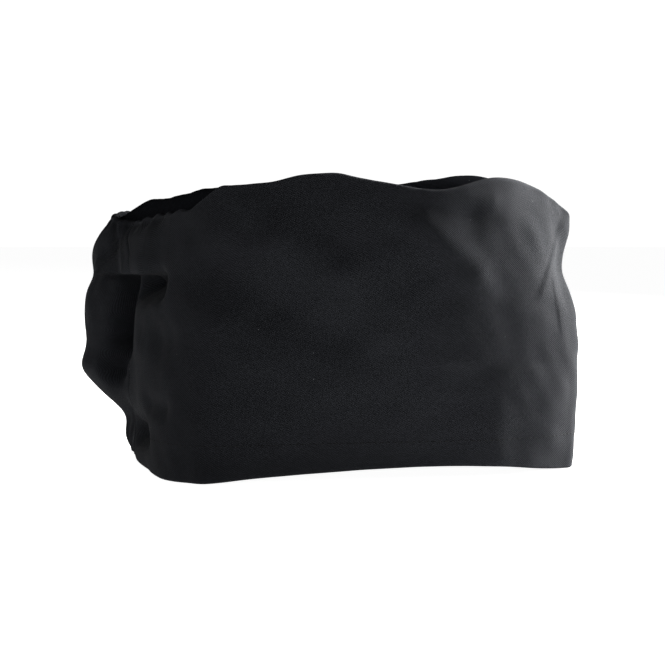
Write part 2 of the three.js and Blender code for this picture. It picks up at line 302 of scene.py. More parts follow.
@dataclass
class CapForm:
    """The shape of the whole cap: where every place of the wall and the crown lies."""

    wrinkles: Wrinkles = field(default_factory=Wrinkles)
    seam_lean_up: float = 88.0
    seam_lean_reach: float = 18.0
    seam_lean_shift: float = -20.0
    seam_lean_fade: float = 45.0
    gather_pitch: float = 12.0
    gather_depth: float = 1.1
    gather_height: float = 16.0
    gather_fade: float = 12.0
    seam_dip: float = 1.1
    seam_dip_width: float = 0.9
    seam_dip_low: float = 40.0
    seam_dip_least: float = 0.2
    pucker_height: float = 4.0
    pucker_sway: float = 1.3
    pucker_sway_rate: float = 0.37
    pucker_rise_rate: float = 0.71
    pucker_rise_start: float = 0.8

    def __post_init__(self) -> None:
        """Draws the closed curves through every section's rim, belly and top."""
        self.rim = ClosedCurve([(s.rim_x, s.rim_y, s.rim_z) for s in SECTIONS])
        self.belly = ClosedCurve([(s.belly_x, s.belly_y, BELLY_HEIGHT) for s in SECTIONS])
        self.top = ClosedCurve([(s.top_x, s.top_y, s.top_z) for s in SECTIONS])
        self.girth = self.belly.length

    def between(self, start: float, end: Array) -> Array:
        """The shortest way around the cap from one place to another, signed."""
        return np.mod(end - start + self.girth / 2, self.girth) - self.girth / 2

    def outward(self, parameter: Array) -> Array:
        """The level directions that point straight out of the cap.

        Args:
            parameter: of the belly's curve.

        Returns:
            The directions, of unit length.
        """
        step = 1e-3
        tangent = self.belly.at(parameter + step) - self.belly.at(parameter - step)
        out = np.stack([-tangent[..., 1], tangent[..., 0], np.zeros_like(parameter)], axis=-1)
        return out / np.linalg.norm(out, axis=-1, keepdims=True)

    def smooth_wall(self, parameter: Array, share: Array) -> Array:
        """The wall before its folds.

        Args:
            parameter: of the curves.
            share: of the wall's height, from the rim to where the top seam's roll starts.

        Returns:
            Places on the parabola through rim, belly and top.
        """
        rim, belly, top = (curve.at(parameter) for curve in (self.rim, self.belly, self.top))
        low = np.maximum(rim[..., 2], 0.0)
        high = top[..., 2]
        up = low + (high - ROLL_RADIUS - low) * share
        rim_weight = (up - BELLY_HEIGHT) * (up - high) / ((low - BELLY_HEIGHT) * (low - high))
        belly_weight = (up - low) * (up - high) / ((BELLY_HEIGHT - low) * (BELLY_HEIGHT - high))
        top_weight = (up - low) * (up - BELLY_HEIGHT) / ((high - low) * (high - BELLY_HEIGHT))
        place = (
            rim * rim_weight[..., None] + belly * belly_weight[..., None] + top * top_weight[..., None]
        )
        place[..., 2] = up
        return place

    def fold_shift(self, fold: Fold, around: Array, up: Array) -> tuple[Array, Array]:
        """How one fold moves the cloth.

        Args:
            fold: the fold.
            around: places around the cap.
            up: heights.

        Returns:
            The outward shift and the upward shift.
        """
        run = np.array([self.between(fold.start_around, fold.end_around), fold.end_up - fold.start_up])
        length = float(np.linalg.norm(run))
        ahead = run / length
        east, north = self.between(fold.start_around, around), up - fold.start_up
        along = east * ahead[0] + north * ahead[1]
        across = ahead[0] * north - ahead[1] * east
        past = np.maximum(np.maximum(-along, along - length), 0.0)
        if fold.kind is FoldKind.SOFT:
            return fold.depth * np.exp(-(past**2 + across**2) / fold.width**2), np.zeros_like(across)
        end_fade = np.exp(-((past / fold.width) ** 2))
        step = np.tanh(2 * across / fold.crease)
        out = fold.depth * step * np.exp(-np.abs(across) / fold.width) * end_fade
        lip = np.exp(-(((across - fold.crease) / fold.crease) ** 2))
        return out, -fold.droop * lip * end_fade

    def gather_shift(self, around: Array, up: Array) -> Array:
        """The ripples that the elastic draws along the back panel's hem.

        Args:
            around: places around the cap.
            up: heights.

        Returns:
            The outward shift at each place.
        """
        panel_end = self.girth + FAR_SEAM
        place = np.mod(around, self.girth)
        inside = np.minimum(place - NEAR_SEAM, panel_end - place) / self.gather_fade
        strength = np.clip(inside, 0.0, 1.0) * np.exp(-((up / self.gather_height) ** 2))
        turn = 2 * math.pi * (place - NEAR_SEAM) / self.gather_pitch
        return self.gather_depth * strength * np.cos(turn)

    def seam_shift(self, around: Array, up: Array) -> Array:
        """The dip of the cloth into the two upright side seams, which fades towards the hem.

        Args:
            around: places around the cap.
            up: heights.

        Returns:
            The outward shift at each place, zero or less.
        """
        near, far = self.between(NEAR_SEAM, around), self.between(FAR_SEAM, around)
        closest = np.minimum(np.abs(near), np.abs(far))
        strength = np.clip((up - self.seam_dip_low) / self.seam_dip_low, self.seam_dip_least, 1.0)
        return -self.seam_dip * strength * np.exp(-closest / self.seam_dip_width)

    def lean(self, around: Array, up: Array) -> Array:
        """Slides places around the cap, so that the near seam leans as it is pulled.

        Args:
            around: places around the cap.
            up: heights.

        Returns:
            The places after the slide.
        """
        nearness = np.maximum(0.0, 1 - np.abs(self.between(NEAR_SEAM, around)) / self.seam_lean_fade)
        pull = np.exp(-(((up - self.seam_lean_up) / self.seam_lean_reach) ** 2))
        return around + self.seam_lean_shift * nearness * pull

    def pucker_at(self, around: Array) -> tuple[Array, Array]:
        """The top seam's gathers: their outward and upward shift at the seam.

        Args:
            around: places around the cap.

        Returns:
            The outward shift and the upward shift.
        """
        out, rise = np.zeros_like(around), np.zeros_like(around)
        for run in PUCKERS:
            middle, half = (run.start + run.end) / 2, (run.end - run.start) / 2
            place = self.between(middle, around)
            inside = np.clip((half - np.abs(place)) / run.pitch, 0.0, 1.0)
            turn = 2 * math.pi * place / run.pitch
            wave = np.sin(turn + self.pucker_sway * np.sin(turn * self.pucker_sway_rate))
            out += run.depth * inside * wave
            rise += run.rise * inside * np.sin(turn * self.pucker_rise_rate + self.pucker_rise_start)
        return out, rise

    def wall(self, around: Array, share: Array) -> tuple[Array, Array]:
        """Places on the wall's outer side.

        Args:
            around: one for each upright column of the cloth.
            share: one for each row, from the rim to the top seam's roll.

        Returns:
            The places and the directions out of the cap, both by column, row and axis.
        """
        columns, rows = np.meshgrid(around, share, indexing="ij")
        first_up = self.smooth_wall(self.belly.parameter_at(columns), rows)[..., 2]
        leaned = self.lean(columns, first_up)
        parameter = self.belly.parameter_at(leaned)
        place = self.smooth_wall(parameter, rows)
        out = self.outward(parameter)
        up = place[..., 2].copy()
        shift = self.gather_shift(leaned, up) + self.seam_shift(columns, up)
        shift += self.wrinkles.shift(leaned, up, self.girth)
        for fold in FOLDS:
            outward, upward = self.fold_shift(fold, leaned, up)
            shift += outward
            place[..., 2] += upward
        pucker_out, pucker_rise = self.pucker_at(columns)
        near_top = np.exp(-(((1 - rows) * WALL_HEIGHT / self.pucker_height) ** 2))
        shift += pucker_out * near_top
        place[..., 2] += pucker_rise * near_top
        return place + out * shift[..., None], out


def inset(place: Array, out: Array, inward: float | Array, rise: float | Array) -> Array:
    """Places moved into the cap by a distance and up by another.

    Args:
        place: the places.
        out: the directions out of the cap there.
        inward: how far they move in.
        rise: how far they move up.

    Returns:
        The moved places.
    """
    moved = place - out * inward
    moved[..., 2] += rise
    return moved


def closed_sheet(
    name: str, outer: Array, inner: Array, cloth_map: Array, wear_and_highlight: Array, pole: Array | None = None
) -> Piece:
    """Makes a closed sheet of cloth from upright strips.

    Args:
        name: of the piece.
        outer: places of the outer side, by strip and row, in millimetres.
        inner: places of the inner side, which has one row for every INNER_STEP of the outer.
        cloth_map: the weave's own two coordinates at each outer place, in millimetres.
        wear_and_highlight: the rim's wear and the roll crest's painted highlight at each outer place,
            from 0 to 1.
        pole: the place that closes a round sheet, or None for one that ends at both sides.

    Returns:
        The piece, in metres.
    """
    rows = outer.shape[1]
    places = np.concatenate([outer, inner[:, ::-1]], axis=1)
    maps, worn_and_lit = (
        np.concatenate([side, side[:, ::INNER_STEP][:, ::-1]], axis=1) for side in (cloth_map, wear_and_highlight)
    )
    grid = np.arange(places.shape[0] * places.shape[1]).reshape(places.shape[:2])
    places, maps, worn_and_lit = places.reshape(-1, 3), maps.reshape(-1, 2), worn_and_lit.reshape(-1)
    if pole is None:
        faces = strip_faces(grid[:-1], grid[1:], None)
        faces.extend(end_faces(grid[0], rows))
        faces.extend(tuple(reversed(face)) for face in end_faces(grid[-1], rows))
    else:
        peak, under = len(places), len(places) + 1
        places = np.vstack([places, pole, pole - np.array([0.0, 0.0, CLOTH])])
        maps = np.vstack([maps, pole[:2], pole[:2]])
        worn_and_lit = np.r_[worn_and_lit, 0.0, 0.0]
        following = np.roll(grid, -1, axis=0)
        faces = strip_faces(grid, following, rows - 1)
        top, bottom = (zip(grid[:, row].tolist(), following[:, row].tolist()) for row in (rows - 1, rows))
        faces.extend((a, peak, b) for a, b in top)
        faces.extend((a, b, under) for a, b in bottom)
    return mesh_piece(name, places * MM, faces, maps * MM, worn_and_lit)


def strip_faces(here: Array, following: Array, open_row: int | None) -> list[Face]:
    """Four-sided faces between each strip and the next, up one side and down the other.

    Args:
        here: the point numbers of each strip.
        following: those of the strip after it.
        open_row: the row that is left open above it, if any.

    Returns:
        The faces.
    """
    faces: list[Face] = []
    for row in range(here.shape[1]):
        if row == open_row:
            continue
        after = (row + 1) % here.shape[1]
        quads = np.stack([here[:, row], here[:, after], following[:, after], following[:, row]], axis=1)
        faces.extend(map(tuple, quads.tolist()))
    return faces


def end_faces(strip: Array, rows: int) -> list[Face]:
    """Faces that close the cloth's thickness at the first strip.

    Args:
        strip: the strip's point numbers, outer side upwards and then inner side downwards.
        rows: how many are on the outer side.

    Returns:
        The faces, seen from outside the sheet's first edge.
    """
    last = len(strip) - 1
    faces = []
    for inner_row, low in enumerate(range(0, rows - 1, INNER_STEP)):
        under, over = strip[last - inner_row], strip[last - inner_row - 1]
        outer_down = [int(strip[k]) for k in range(low + INNER_STEP, low, -1)]
        faces.append((int(strip[low]), int(under), int(over), *outer_down))
    return faces


def mesh_piece(name: str, places: Array, faces: list[Face], maps: Array, worn_and_lit: Array) -> Piece:
    """Makes a smooth mesh object with its cloth map, its wear and its painted highlight, linked to the
    scene.

    Args:
        name: of the piece.
        places: of its points, in metres.
        faces: its faces.
        maps: the cloth map at each point, in metres.
        worn_and_lit: the wear and the painted highlight at each point.

    Returns:
        The piece.
    """
    mesh = bpy.data.meshes.new(name)
    mesh.from_pydata(places.tolist(), [], faces)
    corners = np.zeros(len(mesh.loops), np.int32)
    mesh.loops.foreach_get("vertex_index", corners)
    layer = mesh.uv_layers.new(name=CLOTH_MAP)
    layer.data.foreach_set("uv", maps[corners].astype(np.float32).ravel())
    attribute = mesh.attributes.new(WEAR_AND_HIGHLIGHT_ATTRIBUTE, "FLOAT", "POINT")
    attribute.data.foreach_set("value", worn_and_lit.astype(np.float32))
    mesh.polygons.foreach_set("use_smooth", np.ones(len(mesh.polygons), bool))
    mesh.validate()
    mesh.update()
    return add_object(name, mesh)


def add_object(name: str, data: bpy.types.ID) -> Piece:
    """A new object in the scene that holds a mesh, a light or a camera.

    Args:
        name: of the object.
        data: what it holds.

    Returns:
        The object.
    """
    thing = bpy.data.objects.new(name, data)
    bpy.context.scene.collection.objects.link(thing)
    return thing


@dataclass(frozen=True)
class Run:
    """A stretch around the cap with evenly spaced strips of cloth."""

    start: float
    end: float
    strips: int


def strip_places(runs: tuple[Run, ...]) -> Array:
    """Where the strips stand, drawn in by half the gap at both ends.

    Args:
        runs: the stretches, in order around the cap.

    Returns:
        The places around, one for each strip.
    """
    inside = [np.linspace(run.start, run.end, run.strips, endpoint=False) for run in runs]
    places = np.concatenate([*inside, [runs[-1].end]])
    places[0] += GAP / 2
    places[-1] -= GAP / 2
    return places


@dataclass
class ClothPiece:
    """A piece of the cap's cloth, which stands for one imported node."""

    form: CapForm
    name: str
    node: str
    slot: str

    def sheet(self) -> Piece:
        """The bare piece. Each kind of piece makes its own."""
        raise NotImplementedError

    def build(self, finish: "TwillFinish") -> Piece:
        """Makes the piece and places it on its node.

        Args:
            finish: the cloth.

        Returns:
            The piece.
        """
        piece = self.sheet()
        piece.data.materials.append(finish.material())
        return seat(piece, self.slot, self.node)


def roll_over(
    place: Array, out: Array, lead: float, drop: float, turns: Array
) -> tuple[list[Array], list[Array]]:
    """Rows of the cloth's turn over the top seam.

    Args:
        place: where the turn starts on the wall.
        out: the directions out of the cap there.
        lead: how far inward the turn starts.
        drop: how far below the wall's turn it lies.
        turns: the angles of its rows.

    Returns:
        The rows of the outer side and those of the inner side.
    """
    outer, inner = [], []
    for turn in turns:
        for side, radius in ((outer, ROLL_RADIUS), (inner, ROLL_RADIUS - CLOTH)):
            inward = lead + ROLL_RADIUS - radius * math.cos(turn)
            side.append(inset(place, out, inward, radius * math.sin(turn) - drop))
    return outer, inner


@dataclass
class WallPiece(ClothPiece):
    """A piece of the wall: rim, outer side, roll over the top seam and allowance inside it."""

    runs: tuple[Run, ...]
    wall_rows: int = 120
    roll_rows: int = 9
    allowance_rows: int = 3
    rim_round: float = 0.75
    calm_around: float = 140.0  # where the weave stands upright
    dense_up: tuple[tuple[float, float], ...] = ((88.0, 7.0), (48.0, 5.0), (2.0, 3.0))
    dense_gain: float = 1.3
    dense_samples: int = 2001
    rim_wear: float = 0.3
    rim_wear_reach: float = 1.5
    # how far the painted highlight reaches on either side of the roll's crest
    crest_highlight_reach: float = 1.2

    def row_shares(self) -> Array:
        """The rows' shares of the wall's height, closer together near the creases and the rim.

        Returns:
            The shares, from 0 at the rim to 1 at the roll.
        """
        fine = np.linspace(0.0, 1.0, self.dense_samples)
        density = np.ones_like(fine)
        for up, reach in self.dense_up:
            density += self.dense_gain * np.exp(-(((fine * WALL_HEIGHT - up) / reach) ** 2))
        total = np.r_[0.0, np.cumsum((density[1:] + density[:-1]) / 2)]
        return np.interp(np.linspace(0.0, total[-1], self.wall_rows + 1), total, fine)

    def sheet(self) -> Piece:
        """The bare piece, with its cloth map, its rim's wear and its roll's painted highlight.

        Returns:
            The piece, without its finish.
        """
        around = strip_places(self.runs)
        place, out = self.form.wall(around, self.row_shares())
        low = place[..., 2] - place[:, :1, 2]
        under = np.clip(self.rim_round - low, 0.0, self.rim_round)
        rounding = self.rim_round - np.sqrt(self.rim_round**2 - under**2)
        outer = [inset(place, out, rounding[..., None], 0.0)]
        inner = [inset(place, out, (CLOTH - rounding)[..., None], 0.0)]
        top, top_out = place[:, -1:], out[:, -1:]
        turns = np.linspace(0.0, math.pi, self.roll_rows + 1)[1:]
        outer_roll, inner_roll = roll_over(top, top_out, 0.0, 0.0, turns)
        outer.extend(outer_roll)
        inner.extend(inner_roll)
        for drop in np.linspace(0.0, SEAM_ALLOWANCE, self.allowance_rows + 1)[1:]:
            outer.append(inset(top, top_out, 2 * ROLL_RADIUS, -drop))
            inner.append(inset(top, top_out, 2 * ROLL_RADIUS - CLOTH, -drop))
        outer_all, inner_all = np.concatenate(outer, axis=1), np.concatenate(inner, axis=1)
        cloth_map = self.cloth_map(around, outer_all)
        wear_and_highlight = self.wear_and_highlight(cloth_map[..., 1])
        return closed_sheet(self.name, outer_all, inner_all[:, ::INNER_STEP], cloth_map, wear_and_highlight)

    def cloth_map(self, around: Array, outer: Array) -> Array:
        """The weave's two coordinates, measured along the cloth as it lies in its folds.

        Args:
            around: where each strip stands.
            outer: the outer places, by strip and row.

        Returns:
            The run along each row, counted from the calm strip, and the rise along each strip.
        """
        lengths = np.linalg.norm(np.diff(outer, axis=1), axis=-1)
        rise = np.concatenate([np.zeros((len(around), 1)), np.cumsum(lengths, axis=1)], axis=1)
        spans = np.linalg.norm(np.diff(outer, axis=0), axis=-1)
        run = np.concatenate([np.zeros((1, rise.shape[1])), np.cumsum(spans, axis=0)], axis=0)
        calm = int(np.argmin(np.abs(around - self.calm_around)))
        return np.stack([run - run[[calm]], rise], axis=-1)

    def wear_and_highlight(self, rise: Array) -> Array:
        """How worn the cloth is at its rim, and a painted highlight on the crest of its roll, by its
        rise.

        Args:
            rise: the distance from the rim along the cloth, by strip and row.

        Returns:
            The wear and the painted highlight, from 0 to 1.
        """
        # the crest term is a painted highlight where the roll over the top seam catches the light; the
        # rim term is wear
        crest = np.abs(rise - rise[:, [self.wall_rows]] - ROLL_RADIUS)
        rim = self.rim_wear * np.exp(-rise / self.rim_wear_reach)
        return np.clip(rim + np.exp(-((crest / self.crest_highlight_reach) ** 2)), 0.0, 1.0)


@dataclass
class Crown(ClothPiece):
    """The soft crown: an edge turned down inside the band's top seam, and a slack round top."""

    strips_around: int = 560
    rings: int = 72
    flange_rows: int = 3
    turn_rows: int = 6
    ring_crowding: float = 1.25
    pucker_share: float = 0.9
    pucker_fade: float = 14.0
    ridge_blend: float = 9.0  # half the length over which the ridge line is averaged
    ridge_samples: int = 9
    slack_repeat: float = 250.0
    # reach of the painted highlight along the crest of the crown's turn
    turn_highlight_reach: float = 2.0
    slack: Wrinkles = field(default_factory=lambda: Wrinkles(seed=12, depth=0.5, longest=60.0))

    def ridge_height(self, x: Array) -> Array:
        """Height of the crown's ridge line above places on the cap's length.

        Args:
            x: the places.

        Returns:
            The heights.
        """
        nearby = np.linspace(-self.ridge_blend, self.ridge_blend, self.ridge_samples)
        heights = np.interp(np.add.outer(x, nearby), CROWN_RIDGE_X, CROWN_RIDGE_Z)
        return heights.mean(axis=-1)

    def sag(self, x: Array, y: Array) -> Array:
        """How far the crown sags at places seen from above.

        Args:
            x: along the cap.
            y: across it.

        Returns:
            The change of height, which is negative in a dent.
        """
        total = np.zeros_like(x)
        for dent in CROWN_DENTS:
            distance = np.hypot(x - dent.x, y - dent.y)
            total += dent.depth * np.exp(-((distance / dent.reach) ** 2))
        return total

    def surface(self, x: Array, y: Array, inward: Array, sewn_z: Array) -> Array:
        """Height of the crown's outer side.

        Args:
            x: along the cap.
            y: across it.
            inward: share of the way in from the sewn edge.
            sewn_z: height of the sewn edge there.

        Returns:
            The heights.
        """
        fade = np.minimum(inward / CROWN_SHOULDER, 1.0)
        climb = np.sin(fade * math.pi / 2)
        free = self.ridge_height(x) + self.sag(x, y)
        free += fade * self.slack.shift(x, y, self.slack_repeat)
        return sewn_z + (free - sewn_z) * climb

    def sheet(self) -> Piece:
        """The bare crown, with its cloth map and its painted highlight along the crest of its turn.

        Returns:
            The piece, without its finish.
        """
        around = np.linspace(0.0, self.form.girth, self.strips_around, endpoint=False)
        place, out = self.form.wall(around, np.array([1.0]))
        edge = 2 * ROLL_RADIUS + SEWN_GAP
        outer, inner = [], []
        for drop in np.linspace(SEAM_ALLOWANCE, CROWN_SINK, self.flange_rows + 1)[:-1]:
            outer.append(inset(place, out, edge, -drop))
            inner.append(inset(place, out, edge + CLOTH, -drop))
        turns = np.linspace(0.0, math.pi / 2, self.turn_rows + 1)
        outer_roll, inner_roll = roll_over(place, out, edge, CROWN_SINK, turns)
        outer.extend(outer_roll)
        inner.extend(inner_roll)
        rings = self.free_rings(around, outer[-1][:, 0])
        outer.extend(rings)
        inner.extend(ring - np.array([0.0, 0.0, CLOTH]) for ring in rings)
        outer_all, inner_all = np.concatenate(outer, axis=1), np.concatenate(inner, axis=1)
        spare = (outer_all.shape[1] - 1) % INNER_STEP  # rows past the last inner one
        if spare:
            outer_all, inner_all = outer_all[:, :-spare], inner_all[:, :-spare]
        x, y = (np.array([value]) for value in CROWN_CENTRE)
        top = self.surface(x, y, np.array([1.0]), np.array([0.0]))[0]
        flange = np.linalg.norm(outer_all[..., :2] - outer_all[:, :1, :2], axis=-1)
        # painted highlight along the crest of the crown's turn, which the crown's finish gives no
        # strength
        wear_and_highlight = np.exp(-np.abs(flange - ROLL_RADIUS) / self.turn_highlight_reach)
        pole = np.array([*CROWN_CENTRE, top])
        inner_all = inner_all[:, ::INNER_STEP]
        return closed_sheet(self.name, outer_all, inner_all, outer_all[..., :2], wear_and_highlight, pole)

    def free_rings(self, around: Array, sewn: Array) -> list[Array]:
        """Rings of the crown's slack top.

        Args:
            around: where each strip stands.
            sewn: the place of each strip on the sewn edge.

        Returns:
            The rings of the outer side, from the sewn edge inward.
        """
        centre = np.array(CROWN_CENTRE)
        pucker_out, _ = self.form.pucker_at(around)
        rings = []
        for share in 1 - np.linspace(0.0, 1.0, self.rings + 1)[1:-1] ** self.ring_crowding:
            flat = centre + (sewn[:, :2] - centre) * share
            height = self.surface(flat[:, 0], flat[:, 1], 1 - share, sewn[:, 2])
            reach = np.linalg.norm(sewn[:, :2] - centre, axis=1) * (1 - share)
            height += self.pucker_share * pucker_out * np.exp(-((reach / self.pucker_fade) ** 2))
            rings.append(np.column_stack([flat, height])[:, None])
        return rings


def seat(piece: Piece, slot: str, *nodes: str) -> Piece:
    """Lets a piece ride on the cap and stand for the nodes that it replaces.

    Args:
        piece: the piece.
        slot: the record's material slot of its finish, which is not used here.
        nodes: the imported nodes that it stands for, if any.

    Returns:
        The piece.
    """
    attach(piece, BODY)
    if nodes:
        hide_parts(*nodes)
    return piece


class NodeSheet:
    """A small helper that adds and joins nodes in one tree."""

    def __init__(self, tree: bpy.types.NodeTree) -> None:
        """Keeps the tree that nodes are added to."""
        self.tree = tree

    def feed(self, target: Plug, value: object) -> None:
        """Sets an input to a number or a colour, or joins it to an output.

        Args:
            target: the input.
            value: the number, the colour or the output.
        """
        if isinstance(value, Plug):
            self.tree.links.new(value, target)
        else:
            target.default_value = value

    def fill(self, node: bpy.types.Node, inputs: Inputs) -> None:
        """Feeds several inputs of a node."""
        for name, value in inputs.items():
            self.feed(node.inputs[name], value)

    def add(self, kind: str, inputs: Inputs | None = None, **settings: object) -> bpy.types.Node:
        """A new node of a kind, with its settings and what goes into it.

        Args:
            kind: of node.
            inputs: what goes into it, by name or number.
            settings: its options, by name.

        Returns:
            The node.
        """
        node = self.tree.nodes.new(kind)
        for name, value in settings.items():
            setattr(node, name, value)
        self.fill(node, inputs or {})
        return node

    def math(self, operation: str, first: object, second: object = 0.0) -> Plug:
        """The result of a calculation on one or two values."""
        return self.add("ShaderNodeMath", {0: first, 1: second}, operation=operation).outputs[0]

    def plus(self, first: object, second: object) -> Plug:
        """The sum of two values."""
        return self.math("ADD", first, second)

    def minus(self, first: object, second: object) -> Plug:
        """The first value less the second."""
        return self.math("SUBTRACT", first, second)

    def times(self, first: object, second: object) -> Plug:
        """The product of two values."""
        return self.math("MULTIPLY", first, second)

    def mix(self, share: object, first: object, second: object) -> Plug:
        """A colour between two colours."""
        colours = {"Factor": share, 6: first, 7: second}
        return self.add("ShaderNodeMix", colours, data_type="RGBA").outputs[2]


class NodeGroup:
    """A node group, drawn on its first use."""

    NAME: str
    KIND = "ShaderNodeTree"
    INPUTS: tuple[Socket, ...]
    OUTPUTS: tuple[Socket, ...]

    @classmethod
    def tree(cls) -> bpy.types.NodeTree:
        """The group's tree, with its sockets and nodes.

        Returns:
            The tree, which is drawn only once.
        """
        if cls.NAME in bpy.data.node_groups:
            return bpy.data.node_groups[cls.NAME]
        tree = bpy.data.node_groups.new(cls.NAME, cls.KIND)
        for direction, sockets in (("INPUT", cls.INPUTS), ("OUTPUT", cls.OUTPUTS)):
            for label, sort, value in sockets:
                kind = "NodeSocket" + sort
                socket = tree.interface.new_socket(label, in_out=direction, socket_type=kind)
                if value is not None:
                    socket.default_value = value
        nodes = NodeSheet(tree)
        results = cls.draw(nodes, nodes.add("NodeGroupInput").outputs)
        nodes.add("NodeGroupOutput", results)
        return tree

    @classmethod
    def draw(cls, nodes: NodeSheet, given: bpy.types.NodeOutputs) -> Inputs:
        """Draws the group's nodes.

        Args:
            nodes: the sheet to draw them on.
            given: what comes into the group, by name.

        Returns:
            What goes out of it, by name.
        """
        raise NotImplementedError


class TwillWeave(NodeGroup):
    """The shader node group that draws the twill's ridges and the speckle of its fibres."""

    NAME = "twill weave"
    INPUTS = (
        ("Cloth", "Vector", None),
        ("Pitch", "Float", 0.00079),
        ("Angle", "Float", 0.6),
        ("Waver", "Float", 0.35),
        ("Speckle", "Float", 0.5),
    )
    OUTPUTS = (("Ridge", "Float", None), ("Speckle", "Float", None), ("Fade", "Float", None))
    WAVER_SCALE, WAVER_DETAIL = 260.0, 2.0
    FINE_SCALE, FINE_DETAIL = 1500.0, 1.0
    COARSE_SCALE, COARSE_DETAIL = 620.0, 2.0
    FADE_SCALE, FADE_DETAIL = 34.0, 3.0
    YARN_PITCHES = 1.9
    YARN_LOW = 0.62

    @classmethod
    def draw(cls, nodes: NodeSheet, given: bpy.types.NodeOutputs) -> Inputs:
        """Draws Ridge, Speckle and Fade, each from 0 to 1.

        Args:
            nodes: the sheet to draw them on.
            given: what comes into the group, by name.

        Returns:
            The three, by name.
        """
        cloth, pitch = given["Cloth"], given["Pitch"]
        place = nodes.add("ShaderNodeSeparateXYZ", {0: cloth}).outputs
        cosine, sine = (nodes.math(name, given["Angle"]) for name in ("COSINE", "SINE"))
        along = nodes.plus(nodes.times(place["X"], cosine), nodes.times(place["Y"], sine))
        across = nodes.minus(nodes.times(place["Y"], cosine), nodes.times(place["X"], sine))
        waver = cls.noise(nodes, cloth, cls.WAVER_SCALE, cls.WAVER_DETAIL)
        drift = nodes.times(nodes.minus(waver, 0.5), given["Waver"])
        ridge = cls.wave(nodes, across, pitch, drift)
        yarn = cls.wave(nodes, along, nodes.times(pitch, cls.YARN_PITCHES), nodes.plus(drift, ridge))
        woven = nodes.times(ridge, nodes.plus(cls.YARN_LOW, nodes.times(yarn, 1 - cls.YARN_LOW)))
        fine = cls.noise(nodes, cloth, cls.FINE_SCALE, cls.FINE_DETAIL)
        coarse = cls.noise(nodes, cloth, cls.COARSE_SCALE, cls.COARSE_DETAIL)
        grain = nodes.times(nodes.plus(fine, coarse), 0.5)
        speckle = nodes.plus(0.5, nodes.times(nodes.minus(grain, 0.5), given["Speckle"]))
        fade = cls.noise(nodes, cloth, cls.FADE_SCALE, cls.FADE_DETAIL)
        return {"Ridge": woven, "Speckle": speckle, "Fade": fade}

    @staticmethod
    def noise(nodes: NodeSheet, cloth: Plug, scale: float, detail: float) -> Plug:
        """Smooth noise over the cloth, from 0 to 1."""
        inputs = {"Vector": cloth, "Scale": scale, "Detail": detail}
        return nodes.add("ShaderNodeTexNoise", inputs, noise_dimensions="2D").outputs[0]

    @staticmethod
    def wave(nodes: NodeSheet, distance: Plug, pitch: Plug, drift: Plug) -> Plug:
        """A wave over a distance, from 0 to 1.

        Args:
            nodes: the sheet to draw it on.
            distance: along which it runs.
            pitch: the length of one wave.
            drift: how far it is shifted, in turns.

        Returns:
            Its height.
        """
        turns = nodes.plus(nodes.math("DIVIDE", distance, pitch), drift)
        sine = nodes.math("SINE", nodes.times(turns, 2 * math.pi))
        return nodes.plus(0.5, nodes.times(sine, 0.5))


class LintSpecks(NodeGroup):
    """The shader node group that scatters a few pale specks of lint over the cloth."""

    NAME = "lint specks"
    INPUTS = (
        ("Cloth", "Vector", None),
        ("Spacing", "Float", 0.008),
        ("Size", "Float", 0.0002),
        ("Share", "Float", 0.12),
    )
    OUTPUTS = (("Speck", "Float", None),)

    @classmethod
    def draw(cls, nodes: NodeSheet, given: bpy.types.NodeOutputs) -> Inputs:
        """Draws Speck, which is 1 on a speck of lint.

        Args:
            nodes: the sheet to draw them on.
            given: what comes into the group, by name.

        Returns:
            Speck, by name.
        """
        scale = nodes.math("DIVIDE", 1.0, given["Spacing"])
        inputs = {"Vector": given["Cloth"], "Scale": scale}
        cells = nodes.add("ShaderNodeTexVoronoi", inputs, voronoi_dimensions="2D").outputs
        reach = nodes.times(cells["Distance"], given["Spacing"])
        inside = nodes.math("LESS_THAN", reach, given["Size"])
        luck = nodes.add("ShaderNodeSeparateColor", {0: cells["Color"]}).outputs[0]
        chosen = nodes.math("LESS_THAN", luck, given["Share"])
        return {"Speck": nodes.times(inside, chosen)}


def start_material(name: str) -> tuple[bpy.types.Material, NodeSheet, bpy.types.Node]:
    """A new material, with a sheet of its nodes and its shader.

    Args:
        name: of the material.

    Returns:
        The material, the sheet and the shader.
    """
    material = bpy.data.materials.new(name)
    material.use_nodes = True
    return material, NodeSheet(material.node_tree), material.node_tree.nodes["Principled BSDF"]


